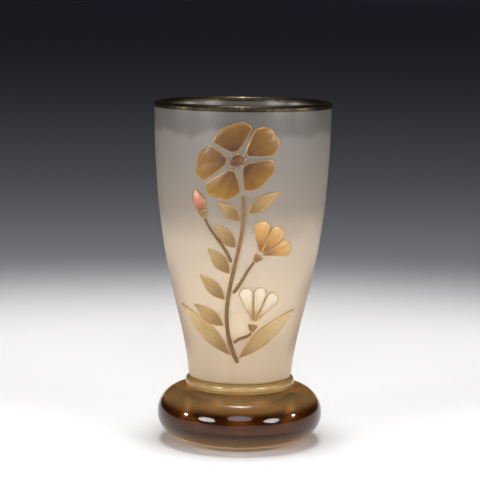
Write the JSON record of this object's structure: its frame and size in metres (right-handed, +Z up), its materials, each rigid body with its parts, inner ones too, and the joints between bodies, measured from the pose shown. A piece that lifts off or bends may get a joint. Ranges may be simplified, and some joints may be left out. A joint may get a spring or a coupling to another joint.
{
  "type": "liqueur glass",
  "caption": "Footed liqueur glass: tapered smoked-glass bowl with gilt lip and raised enamel flower spray, on an amber collar and a thick dark brown bun foot.",
  "frame": {"origin": "on the table, under the middle of the foot", "axes": "+Z up through the mouth; the large flower spray faces -Y and the small sprig faces +Y"},
  "size_m": [0.0416, 0.0426, 0.0802],
  "materials": {
    "smoked_glass": "satin smoke-beige blown glass, faintly mottled",
    "amber_glass": "glossy amber glass",
    "brown_glass": "glossy dark brown glass, thick",
    "gilding": "thin fired gilding, softly worn",
    "petal_enamel": "raised ochre-gold enamel, glossy",
    "side_petal_enamel": "raised orange-gold enamel, glossy",
    "low_petal_enamel": "raised cream enamel, glossy",
    "heart_enamel": "raised brown enamel, beaded",
    "stamen_enamel": "raised pale gold enamel beads",
    "bud_enamel": "raised salmon enamel, glossy",
    "leaf_enamel": "raised olive-gold enamel, glossy",
    "stem_enamel": "raised brown-gold enamel, glossy"
  },
  "bodies": {
    "root": {"foot": "brown_glass", "collar": "amber_glass", "bowl": "smoked_glass", "gilt_lip": "gilding", "blossom_petal_1": "petal_enamel", "blossom_petal_2": "petal_enamel", "blossom_petal_3": "petal_enamel", "blossom_petal_4": "petal_enamel", "blossom_petal_5": "petal_enamel", "blossom_heart": "heart_enamel", "stamen_1": "stamen_enamel", "stamen_2": "stamen_enamel", "stamen_3": "stamen_enamel", "stamen_4": "stamen_enamel", "stamen_5": "stamen_enamel", "stamen_6": "stamen_enamel", "stamen_7": "stamen_enamel", "stamen_8": "stamen_enamel", "side_blossom_petal_1": "side_petal_enamel", "side_blossom_petal_2": "side_petal_enamel", "side_blossom_petal_3": "side_petal_enamel", "side_blossom_cup": "leaf_enamel", "side_blossom_stem": "stem_enamel", "low_blossom_petal_1": "low_petal_enamel", "low_blossom_petal_2": "low_petal_enamel", "low_blossom_petal_3": "low_petal_enamel", "low_blossom_cup": "leaf_enamel", "low_blossom_stem": "stem_enamel", "main_stem": "stem_enamel", "bud_stem": "stem_enamel", "bud_cup": "leaf_enamel", "bud_tip": "bud_enamel", "leaf_1": "leaf_enamel", "leaf_2": "leaf_enamel", "leaf_3": "leaf_enamel", "leaf_4": "leaf_enamel", "leaf_5": "leaf_enamel", "leaf_6": "leaf_enamel", "leaf_7": "leaf_enamel", "leaf_8": "leaf_enamel", "back_stem": "stem_enamel", "back_bud_cup": "leaf_enamel", "back_bud_tip": "bud_enamel", "back_leaf_1": "leaf_enamel", "back_leaf_2": "leaf_enamel", "back_leaf_3": "leaf_enamel"}
  },
  "joints": []
}
